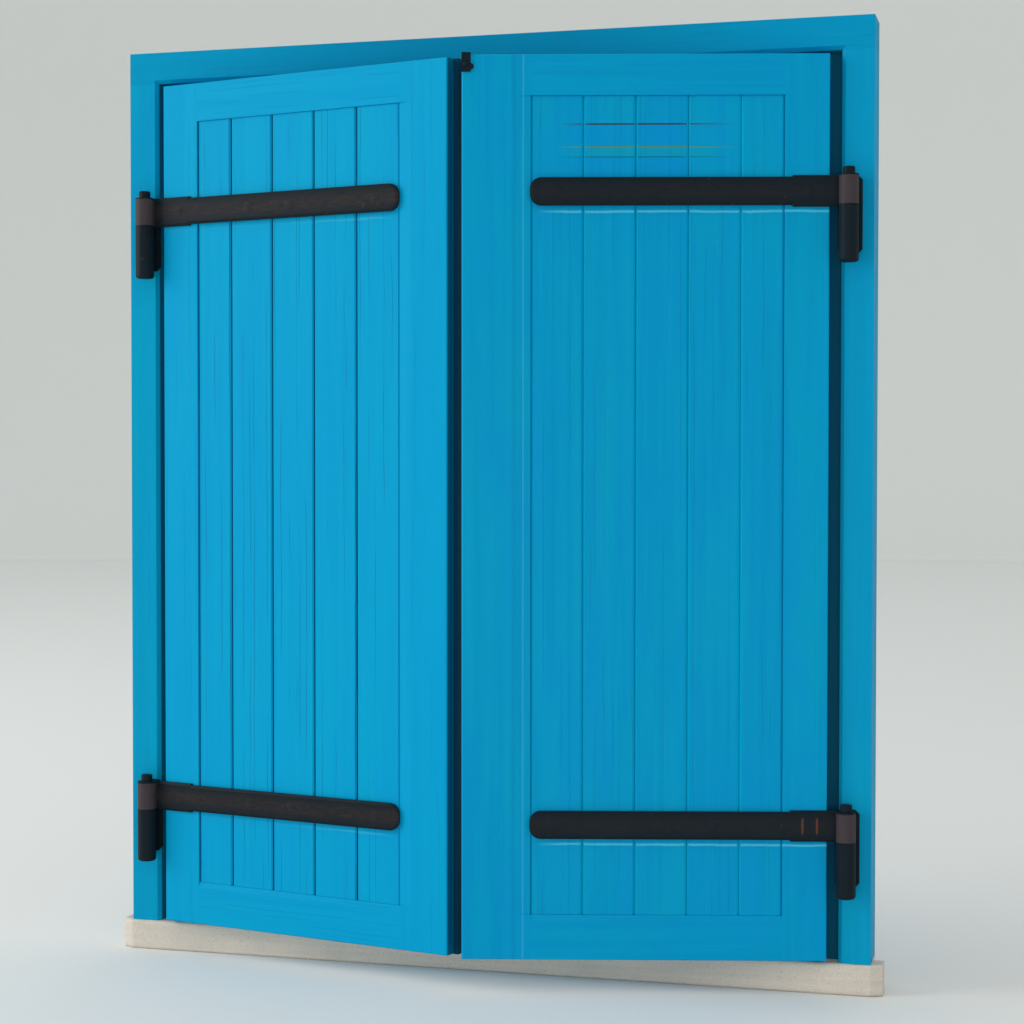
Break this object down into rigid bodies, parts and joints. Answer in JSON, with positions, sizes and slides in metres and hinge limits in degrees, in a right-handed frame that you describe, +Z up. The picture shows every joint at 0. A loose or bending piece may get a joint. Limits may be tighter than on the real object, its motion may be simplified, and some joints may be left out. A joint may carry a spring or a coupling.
{
  "type": "boarded window shutters",
  "caption": "Boarded window shutters: framed leaves of upright V-jointed boards on long strap hinges, hung ajar in a rebated wooden frame on a stone sill.",
  "frame": {"origin": "middle of the sill's underside, in line with the frame's front face", "axes": "+X to the right along the wall as seen from outside, +Y into the wall, +Z up"},
  "size_m": [1.092, 0.2061, 1.292],
  "materials": {
    "frame_paint": "weathered satin paint",
    "leaf_paint": "weathered satin paint",
    "black_iron": "brushed black paint with rust",
    "plain_steel": "dull zinc",
    "sill_stone": "rough cut"
  },
  "bodies": {
    "frame": {"frame_head": "frame_paint", "frame_jamb_left": "frame_paint", "frame_jamb_right": "frame_paint", "sill": "sill_stone", "pintle_top_left": "black_iron", "pintle_top_right": "black_iron", "pintle_bottom_left": "black_iron", "pintle_bottom_right": "black_iron", "pintle_nuts": "plain_steel", "pintle_washers": "plain_steel"},
    "left_leaf": {"left_hinge_stile": "leaf_paint", "left_meeting_stile": "leaf_paint", "left_top_rail": "leaf_paint", "left_bottom_rail": "leaf_paint", "left_board_1": "leaf_paint", "left_board_2": "leaf_paint", "left_board_3": "leaf_paint", "left_board_4": "leaf_paint", "left_board_5": "leaf_paint", "left_ledge_top": "leaf_paint", "left_ledge_bottom": "leaf_paint", "left_strap_top": "black_iron", "left_strap_bottom": "black_iron", "left_strap_bolts": "black_iron", "left_bolt_nuts": "plain_steel", "left_bolt_washers": "plain_steel", "left_ledge_screws": "plain_steel"},
    "right_leaf": {"right_hinge_stile": "leaf_paint", "right_meeting_stile": "leaf_paint", "right_top_rail": "leaf_paint", "right_bottom_rail": "leaf_paint", "right_board_1": "leaf_paint", "right_board_2": "leaf_paint", "right_board_3": "leaf_paint", "right_board_4": "leaf_paint", "right_board_5": "leaf_paint", "right_ledge_top": "leaf_paint", "right_ledge_bottom": "leaf_paint", "right_strap_top": "black_iron", "right_strap_bottom": "black_iron", "right_strap_bolts": "black_iron", "right_bolt_nuts": "plain_steel", "right_bolt_washers": "plain_steel", "right_ledge_screws": "plain_steel", "top_catch": "black_iron", "catch_screw": "black_iron", "slide_plate_top": "black_iron", "slide_plate_bottom": "black_iron", "slide_screws_top": "plain_steel", "slide_screws_bottom": "plain_steel"},
    "top_bolt": {"slide_rod_top": "black_iron"},
    "bottom_bolt": {"slide_rod_bottom": "black_iron"}
  },
  "joints": [
    {"name": "left_leaf_hinge", "type": "hinge", "parent": "frame", "child": "left_leaf", "pos_m": [-0.499, -0.02, 0.644], "axis": [0, 0, -1], "range_deg": [-12.8, 167.2]},
    {"name": "right_leaf_hinge", "type": "hinge", "parent": "frame", "child": "right_leaf", "pos_m": [0.499, -0.02, 0.644], "axis": [0, 0, 1], "range_deg": [-13.8, 166.2]},
    {"name": "top_bolt_slide", "type": "slide", "parent": "right_leaf", "child": "top_bolt", "axis": [0, 0, 1], "range_m": [0, 0.018]},
    {"name": "bottom_bolt_slide", "type": "slide", "parent": "right_leaf", "child": "bottom_bolt", "axis": [0, 0, -1], "range_m": [0, 0.018]}
  ]
}
